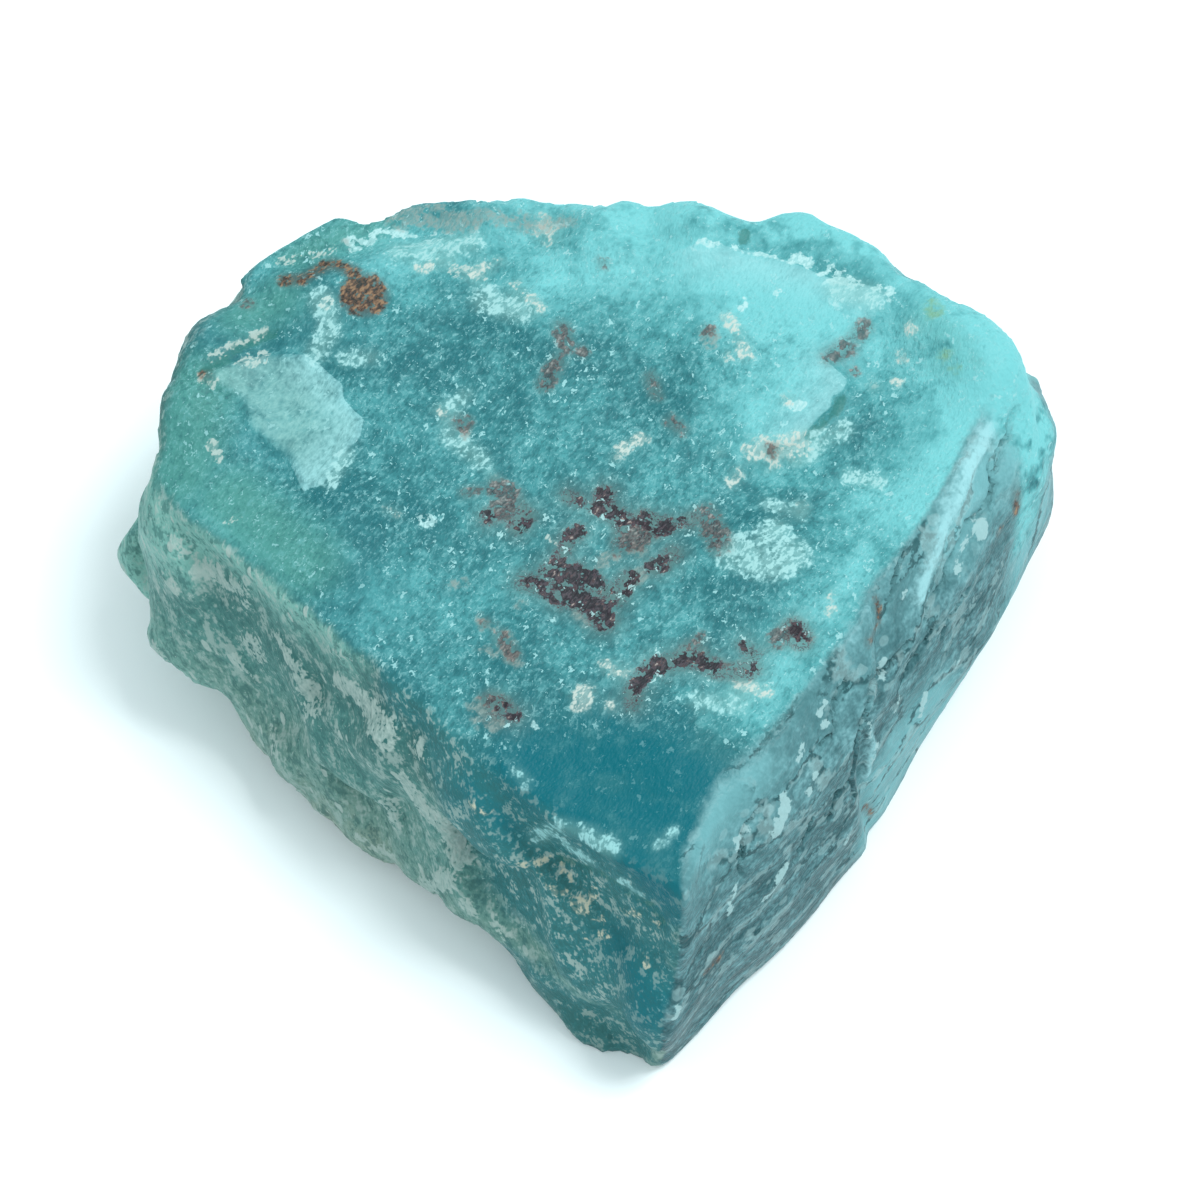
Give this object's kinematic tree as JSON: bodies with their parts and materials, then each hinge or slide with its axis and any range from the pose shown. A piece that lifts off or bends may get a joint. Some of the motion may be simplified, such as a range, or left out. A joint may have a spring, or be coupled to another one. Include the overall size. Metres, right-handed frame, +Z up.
{
  "type": "raw amazonite",
  "caption": "Raw amazonite: a wedge-shaped broken lump of blue-green feldspar with a broad level top cleavage, one smooth cleaved wall and rough broken walls; lies on its flat underside.",
  "frame": {"origin": "on the resting surface, below the middle of the stone's box", "axes": "+Z up from the flat underside to the broad top face, +X towards the cleaved right wall and along the stone's longest side, -Y towards its narrow front corner"},
  "size_m": [0.0632, 0.0556, 0.0205],
  "materials": {
    "feldspar": "blue-green feldspar with pale flecks and dark spots, satin where cleaved and matt where broken"
  },
  "bodies": {
    "root": {"amazonite": "feldspar"}
  },
  "joints": []
}
